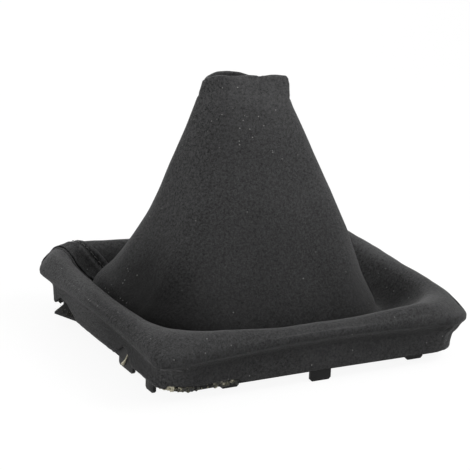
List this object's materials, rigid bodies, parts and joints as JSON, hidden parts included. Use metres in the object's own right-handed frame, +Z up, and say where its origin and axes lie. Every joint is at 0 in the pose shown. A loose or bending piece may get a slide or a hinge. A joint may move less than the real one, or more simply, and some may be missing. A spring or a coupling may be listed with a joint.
{
  "type": "gear lever gaiter",
  "caption": "Soft suede gaiter for a gear lever: a tapered cover with a flat hemmed neck, fixed over a moulded clip frame.",
  "frame": {"origin": "under the middle of the covered rim, level with the tips of the frame's tabs", "axes": "+X along the long front side, -Y towards the front side, +Z up through the neck"},
  "size_m": [0.165, 0.152, 0.1251],
  "materials": {
    "moulded_frame": "fine moulded texture, slightly scuffed",
    "suede": "short suede nap with pale lint"
  },
  "bodies": {
    "root": {"clip_frame": "moulded_frame", "suede_cover": "suede"}
  },
  "joints": []
}
